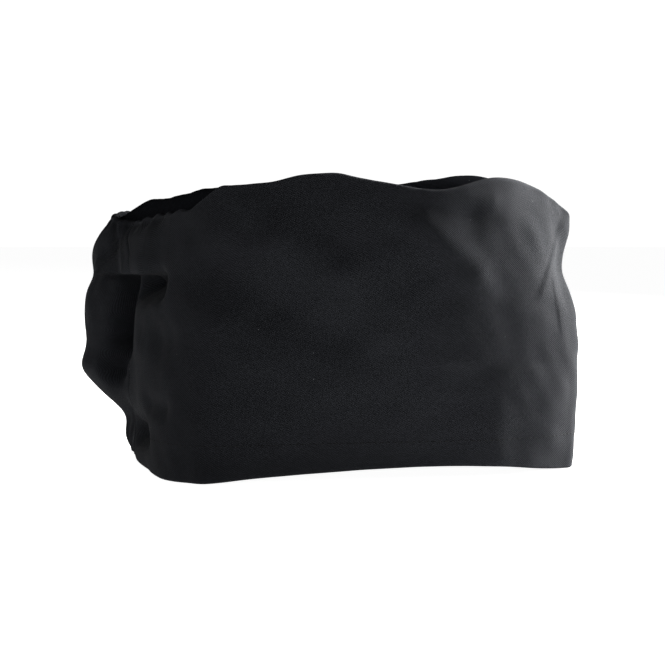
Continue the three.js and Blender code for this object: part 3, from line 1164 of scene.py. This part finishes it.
@dataclass(frozen=True)
class TwillFinish:
    """Black cotton twill with ridges, fibre speckle, faded patches, a worn rim, a painted roll highlight
    and a few lint specks.

    The shades are shares of the cloth's own colour.
    """

    name: str
    colour: tuple[float, float, float]
    roughness: float = 0.86
    speckle_roughness: float = 0.12
    angle_deg: float = 34.0
    pitch: float = 0.79
    relief: float = 0.16
    speckle_relief: float = 0.8
    contrast: float = 0.8
    speckle: float = 1.0
    dark_fibre: float = 0.2
    light_fibre: float = 2.2
    fade: float = 0.3
    faded_shade: float = 1.5
    # how strongly the mask lightens the cloth, and to what shade: wear at the rim, a painted highlight on
    # the roll's crest
    wear_and_highlight: float = 0.55
    worn_and_highlight_shade: float = 3.0
    sheen: float = 0.03
    sheen_roughness: float = 0.45
    specular: float = 0.06
    lint_share: float = 0.02
    lint_colour: Colour = (0.12, 0.125, 0.13, 1.0)

    def shade(self, factor: float) -> Colour:
        """The cloth's colour, made lighter or darker."""
        red, green, blue = (channel * factor for channel in self.colour)
        return red, green, blue, 1.0

    def colour_nodes(self, nodes: NodeSheet, weave: object, cloth: Plug) -> Plug:
        """Draws the cloth's colour.

        Args:
            nodes: the material's nodes.
            weave: the outputs of the twill's node group.
            cloth: the cloth map.

        Returns:
            The colour, with its ridges, fibres, faded places, worn rim, painted highlight on the roll and
            lint.
        """
        worn_and_lit = nodes.add("ShaderNodeAttribute", attribute_name=WEAR_AND_HIGHLIGHT_ATTRIBUTE).outputs["Fac"]
        inputs = {"Cloth": cloth, "Share": self.lint_share}
        lint = nodes.add("ShaderNodeGroup", inputs, node_tree=LintSpecks.tree()).outputs["Speck"]
        woven = nodes.mix(weave["Ridge"], self.shade(1 - self.contrast), self.shade(1 + self.contrast))
        speckled = nodes.mix(weave["Speckle"], self.shade(self.dark_fibre), self.shade(self.light_fibre))
        grained = nodes.mix(0.5, woven, speckled)
        faded = nodes.mix(nodes.times(weave["Fade"], self.fade), grained, self.shade(self.faded_shade))
        # lightens the worn rim, and paints a highlight along the crest of the roll
        worn_and_highlit = nodes.mix(nodes.times(worn_and_lit, self.wear_and_highlight), faded, self.shade(self.worn_and_highlight_shade))
        return nodes.mix(lint, worn_and_highlit, self.lint_colour)

    def material(self) -> bpy.types.Material:
        """Builds the material.

        Returns:
            The material, with nodes.
        """
        material, nodes, shader = start_material(self.name)
        cloth = nodes.add("ShaderNodeUVMap", uv_map=CLOTH_MAP).outputs["UV"]
        angle = math.radians(self.angle_deg)
        inputs = {"Cloth": cloth, "Pitch": self.pitch * MM, "Angle": angle, "Speckle": self.speckle}
        weave = nodes.add("ShaderNodeGroup", inputs, node_tree=TwillWeave.tree()).outputs
        rough = nodes.plus(self.roughness, nodes.times(weave["Speckle"], self.speckle_roughness))
        height = nodes.plus(weave["Ridge"], nodes.times(weave["Speckle"], self.speckle_relief))
        bump = nodes.add("ShaderNodeBump", {"Distance": self.relief * MM, "Height": height})
        nodes.fill(
            shader,
            {
                "Base Color": self.colour_nodes(nodes, weave, cloth),
                "Roughness": rough,
                "Normal": bump.outputs["Normal"],
                "Specular IOR Level": self.specular,
                "Sheen Weight": self.sheen,
                "Sheen Roughness": self.sheen_roughness,
            },
        )
        return material


@dataclass(frozen=True)
class ThreadFinish:
    """Black sewing thread, a little glossier than the cloth."""

    name: str = "black_thread"
    colour: Colour = (0.006, 0.0062, 0.007, 1.0)
    dark_share: float = 0.5
    roughness: float = 0.5
    ply_scale: float = 2600.0

    def material(self) -> bpy.types.Material:
        """Builds the material, with the plies of the thread as fine noise.

        Returns:
            The material, with nodes.
        """
        material, nodes, shader = start_material(self.name)
        place = nodes.add("ShaderNodeTexCoord").outputs["Object"]
        plies = nodes.add("ShaderNodeTexNoise", {"Vector": place, "Scale": self.ply_scale}).outputs[0]
        dark = tuple(channel * self.dark_share for channel in self.colour[:3]) + (1.0,)
        rough = nodes.plus(self.roughness, plies)
        nodes.fill(shader, {"Base Color": nodes.mix(plies, dark, self.colour), "Roughness": rough})
        return material


@dataclass(frozen=True)
class SeamPath:
    """A line of stitches on the wall, from one place to another."""

    name: str
    start_around: float
    start_up: float
    end_around: float
    end_up: float


@dataclass
class StitchRow:
    """Rows of machine stitches, made by Geometry Nodes along lines on the cloth."""

    form: CapForm
    name: str
    slot: str
    paths: tuple[SeamPath, ...]
    pitch: float = 2.9
    length: float = 2.3
    thickness: float = 0.42
    seed: int = 3
    samples: int = 220
    column_rows: int = 160
    least_step: float = 1e-6

    def path_points(self, path: SeamPath) -> tuple[Array, Array]:
        """Points along a line of stitches, lying on the cloth.

        Args:
            path: the line.

        Returns:
            The places in millimetres, and the directions out of the cap there.
        """
        around = np.linspace(path.start_around, path.end_around, self.samples)
        up = np.linspace(path.start_up, path.end_up, self.samples)
        shares = np.linspace(0.0, 1.0, self.column_rows)
        steps = np.arange(self.column_rows) * self.least_step
        places, outs = [], []
        for one_around, one_up in zip(around, up):
            column, out = self.form.wall(np.array([one_around]), shares)
            heights = np.maximum.accumulate(column[0, :, 2] + steps)
            places.append([np.interp(one_up, heights, column[0, :, axis]) for axis in range(3)])
            outs.append(out[0, 0])
        return np.array(places), np.array(outs)

    def path_mesh(self) -> Piece:
        """An object whose edges are the lines of stitches, with their outward directions.

        Returns:
            The object, which is taken away once the stitches are sewn.
        """
        points, outs, edges = [], [], []
        for path in self.paths:
            places, directions = self.path_points(path)
            first = len(points)
            points.extend((places * MM).tolist())
            outs.extend(directions.tolist())
            edges.extend((first + k, first + k + 1) for k in range(len(places) - 1))
        mesh = bpy.data.meshes.new(self.name)
        mesh.from_pydata(points, edges, [])
        attribute = mesh.attributes.new(StitchTree.OUT_ATTRIBUTE, "FLOAT_VECTOR", "POINT")
        attribute.data.foreach_set("vector", np.array(outs, np.float32).ravel())
        return add_object(self.name + "_lines", mesh)

    def build(self, thread: bpy.types.Material) -> Piece:
        """Sews the stitches.

        Args:
            thread: the thread's material.

        Returns:
            The piece, a plain mesh.
        """
        lines = self.path_mesh()
        tree = StitchTree.tree()
        tree.nodes[StitchTree.DRESS].inputs["Material"].default_value = thread
        modifier = lines.modifiers.new("stitches", "NODES")
        modifier.node_group = tree
        sizes = {
            "Pitch": self.pitch * MM,
            "Length": self.length * MM,
            "Thickness": self.thickness * MM,
            "Seed": self.seed,
        }
        for item in tree.interface.items_tree:
            if item.item_type == "SOCKET" and item.in_out == "INPUT" and item.name in sizes:
                modifier[item.identifier] = sizes[item.name]
        graph = bpy.context.evaluated_depsgraph_get()
        mesh = bpy.data.meshes.new_from_object(lines.evaluated_get(graph))
        lines.modifiers.remove(modifier)
        bpy.data.objects.remove(lines)
        mesh.name = self.name
        mesh.polygons.foreach_set("use_smooth", np.ones(len(mesh.polygons), bool))
        return seat(add_object(self.name, mesh), self.slot)


class StitchTree(NodeGroup):
    """The Geometry Nodes tree that lays stitches along lines."""

    NAME = "machine stitches"
    KIND = "GeometryNodeTree"
    DRESS = "dress in thread"
    OUT_ATTRIBUTE = "out"
    INPUTS = (
        ("Lines", "Geometry", None),
        ("Pitch", "Float", 0.003),
        ("Length", "Float", 0.0023),
        ("Thickness", "Float", 0.0004),
        ("Seed", "Int", None),
    )
    OUTPUTS = (("Stitches", "Geometry", None),)
    SMALLEST, LARGEST = 0.86, 1.06
    BEAD = {"Segments": 8, "Rings": 5, "Radius": 0.5}

    @classmethod
    def draw(cls, nodes: NodeSheet, given: bpy.types.NodeOutputs) -> Inputs:
        """Draws a stitch at each even step along the lines.

        Args:
            nodes: the sheet to draw them on.
            given: what comes into the group, by name.

        Returns:
            The stitches, by name.
        """
        curve = nodes.add("GeometryNodeMeshToCurve", {0: given["Lines"]}).outputs[0]
        inputs = {"Curve": curve, "Length": given["Pitch"]}
        even = nodes.add("GeometryNodeResampleCurve", inputs, mode="LENGTH")
        inputs = {2: cls.SMALLEST, 3: cls.LARGEST, "Seed": given["Seed"]}
        uneven = nodes.add("FunctionNodeRandomValue", inputs, data_type="FLOAT")
        points = {
            "Points": even.outputs["Curve"],
            "Instance": cls.one_stitch(nodes, given["Length"], given["Thickness"]),
            "Rotation": cls.along_the_line(nodes),
            "Scale": uneven.outputs[1],
        }
        laid = nodes.add("GeometryNodeInstanceOnPoints", points).outputs["Instances"]
        real = nodes.add("GeometryNodeRealizeInstances", {"Geometry": laid}).outputs["Geometry"]
        dress = nodes.add("GeometryNodeSetMaterial", {"Geometry": real}, name=cls.DRESS)
        return {"Stitches": dress.outputs["Geometry"]}

    @classmethod
    def one_stitch(cls, nodes: NodeSheet, length: Plug, thickness: Plug) -> Plug:
        """A bead drawn out to a stitch's length and thickness.

        Args:
            nodes: the sheet to draw it on.
            length: of the stitch.
            thickness: of the stitch.

        Returns:
            Its mesh.
        """
        bead = nodes.add("GeometryNodeMeshUVSphere", cls.BEAD).outputs["Mesh"]
        size = nodes.add("ShaderNodeCombineXYZ", {"X": length, "Y": thickness, "Z": thickness})
        stitch = {"Geometry": bead, "Scale": size.outputs[0]}
        return nodes.add("GeometryNodeTransform", stitch).outputs["Geometry"]

    @classmethod
    def along_the_line(cls, nodes: NodeSheet) -> Plug:
        """Turns a stitch along its line, with its back to the cloth.

        Args:
            nodes: the sheet to draw the turns on.

        Returns:
            The turn at each step.
        """
        name = {"Name": cls.OUT_ATTRIBUTE}
        out = nodes.add("GeometryNodeInputNamedAttribute", name, data_type="FLOAT_VECTOR")
        tangent = nodes.add("GeometryNodeInputTangent").outputs[0]
        turn = "FunctionNodeAlignRotationToVector"
        along = nodes.add(turn, {"Vector": tangent}, axis="X").outputs[0]
        inputs = {"Rotation": along, "Vector": out.outputs["Attribute"]}
        return nodes.add(turn, inputs, axis="Z", pivot_axis="X").outputs[0]


@dataclass(frozen=True)
class SoftBox:
    """A square studio light that faces the cap."""

    name: str
    place: tuple[float, float, float]
    size: float
    power: float
    colour: tuple[float, float, float] = (1.0, 1.0, 1.0)


@dataclass
class Studio:
    """The pale floor, the soft lights and the camera."""

    boxes: tuple[SoftBox, ...] = (
        SoftBox("key_light", (1.0, 0.66, 0.33), 0.8, 94.0),
        SoftBox("right_light", (1.25, -0.5, 0.2), 1.0, 3.0),
        SoftBox("left_light", (-1.2, -0.5, 0.5), 0.8, 2.8),
    )
    aim: tuple[float, float, float] = (0.0, 0.0, 0.06)
    fill: float = 0.01
    fill_colour: Colour = (0.93, 0.96, 1.0, 1.0)
    backdrop: float = 1.05
    white: Colour = (1.0, 1.0, 1.0, 1.0)
    floor_colour: Colour = (0.7, 0.7, 0.7, 1.0)
    floor_roughness: float = 0.9
    floor_glow: float = 0.48
    floor_white: float = 0.97
    floor_half: float = 4.0
    floor_drop: float = 0.0002
    camera_place: tuple[float, float, float] = (0.0035, -1.1, 0.127)
    camera_pitch_deg: float = 3.485
    camera_lens: float = 129.33
    camera_sensor: float = 36.0
    camera_near: float = 0.01

    def make_floor(self) -> None:
        """A wide, nearly white floor that glows a little to the camera, as a lit sweep does."""
        corners = ((-1, -1), (1, -1), (1, 1), (-1, 1))
        places = [(x * self.floor_half, y * self.floor_half, -self.floor_drop) for x, y in corners]
        mesh = bpy.data.meshes.new("studio_floor")
        mesh.from_pydata(places, [], [(0, 1, 2, 3)])
        material, nodes, shader = start_material("pale_floor")
        seen = nodes.add("ShaderNodeLightPath").outputs["Is Camera Ray"]
        more = nodes.times(seen, self.floor_white - self.floor_glow)
        nodes.fill(
            shader,
            {
                "Base Color": self.floor_colour,
                "Roughness": self.floor_roughness,
                "Specular IOR Level": 0.0,
                "Emission Color": self.white,
                "Emission Strength": nodes.plus(more, self.floor_glow),
            },
        )
        mesh.materials.append(material)
        add_object("studio_floor", mesh)

    def make_world(self) -> None:
        """A white backdrop for the camera, and a dimmer even light for the cap."""
        world = bpy.data.worlds.new("studio")
        bpy.context.scene.world = world
        world.use_nodes = True
        world.node_tree.nodes.clear()
        nodes = NodeSheet(world.node_tree)
        seen = nodes.add("ShaderNodeBackground", {"Strength": self.backdrop, "Color": self.white})
        dim = nodes.add("ShaderNodeBackground", {"Strength": self.fill, "Color": self.fill_colour})
        camera_ray = nodes.add("ShaderNodeLightPath").outputs["Is Camera Ray"]
        choice = nodes.add("ShaderNodeMixShader", {0: camera_ray, 1: dim.outputs[0], 2: seen.outputs[0]})
        nodes.add("ShaderNodeOutputWorld", {"Surface": choice.outputs[0]})

    def make_lights(self) -> None:
        """The soft boxes, turned to face the cap and hidden from the camera."""
        for box in self.boxes:
            data = bpy.data.lights.new(box.name, "AREA")
            data.size = box.size
            data.energy = box.power
            data.color = box.colour
            light = add_object(box.name, data)
            light.location = box.place
            towards = Vector(self.aim) - Vector(box.place)
            light.rotation_euler = towards.to_track_quat("-Z", "Y").to_euler()
            light.visible_camera = False

    def make_camera(self) -> None:
        """The camera, level with the crown and tipped down a little."""
        data = bpy.data.cameras.new("camera")
        data.lens = self.camera_lens
        data.sensor_width = self.camera_sensor
        data.clip_start = self.camera_near
        camera = add_object("camera", data)
        camera.location = self.camera_place
        camera.rotation_euler = (math.radians(90.0 - self.camera_pitch_deg), 0.0, 0.0)
        bpy.context.scene.camera = camera

    def build(self) -> None:
        """Sets up the whole studio."""
        bpy.context.scene.view_settings.view_transform = "Standard"
        self.make_floor()
        self.make_world()
        self.make_lights()
        self.make_camera()


@dataclass
class SkullCap:
    """The whole cap: its form, its three pieces of cloth and its rows of stitches."""

    form: CapForm = field(default_factory=CapForm)
    band_finish: TwillFinish = TwillFinish("band_twill", (0.018, 0.019, 0.022))
    # the panel's roll gets only a weak painted highlight
    panel_finish: TwillFinish = TwillFinish(
        "panel_twill", (0.0155, 0.0165, 0.0195), angle_deg=52.0, wear_and_highlight=0.1
    )
    # the crown is the same black twill as the band, coloured darker as painted shade on its upward faces
    crown_finish_with_painted_shade: TwillFinish = TwillFinish(
        "crown_twill", (0.012, 0.0127, 0.015), angle_deg=20.0, wear_and_highlight=0.0, sheen=0.0, specular=0.0
    )
    thread: ThreadFinish = ThreadFinish()

    def side_band(self) -> WallPiece:
        """The wide band round the front and both sides.

        Returns:
            The piece, not yet built.
        """
        runs = (
            Run(FAR_SEAM, -25.0, 130),
            Run(-25.0, 60.0, 106),
            Run(60.0, 186.0, 144),
            Run(186.0, NEAR_SEAM, 108),
        )
        return WallPiece(self.form, "side_band_cloth", "side_band", "band_twill", runs)

    def back_panel(self) -> WallPiece:
        """The gathered panel at the back.

        Returns:
            The piece, not yet built.
        """
        runs = (
            Run(NEAR_SEAM, 302.0, 56),
            Run(302.0, self.form.girth + FAR_SEAM, 70),
        )
        return WallPiece(self.form, "back_panel_cloth", "back_panel", "panel_twill", runs)

    def stitch_rows(self) -> list[StitchRow]:
        """Every row of stitches that shows.

        Returns:
            The rows, not yet sewn.
        """
        hem = SeamPath("hem", FAR_SEAM + 2.0, HEM_DEPTH, NEAR_SEAM - 4.0, HEM_DEPTH)
        upper = SeamPath("upper diagonal", 268.0, 104.0, 291.0, 92.5)
        lower = SeamPath("lower diagonal", 268.0, 100.5, 291.0, 89.0)
        return [
            StitchRow(self.form, "hem_stitches", "band_twill", (hem,), seed=3),
            StitchRow(self.form, "panel_stitches", "panel_twill", (upper, lower), seed=5, samples=60),
        ]

    def build(self) -> list[Piece]:
        """Makes every piece in order.

        Returns:
            The pieces.
        """
        crown = Crown(self.form, "crown_cloth", "crown_top", "crown_twill")
        pieces = [
            self.side_band().build(self.band_finish),
            self.back_panel().build(self.panel_finish),
            crown.build(self.crown_finish_with_painted_shade),
        ]
        thread = self.thread.material()
        pieces.extend(row.build(thread) for row in self.stitch_rows())
        return pieces


def main() -> None:
    """Builds the studio and the cap, and reports each piece."""
    logging.basicConfig(level=logging.INFO, format="%(name)s: %(message)s")
    Studio().build()
    for piece in SkullCap().build():
        log.info("%s has %d faces", piece.name, len(piece.data.polygons))


if __name__ == "__main__":
    main()
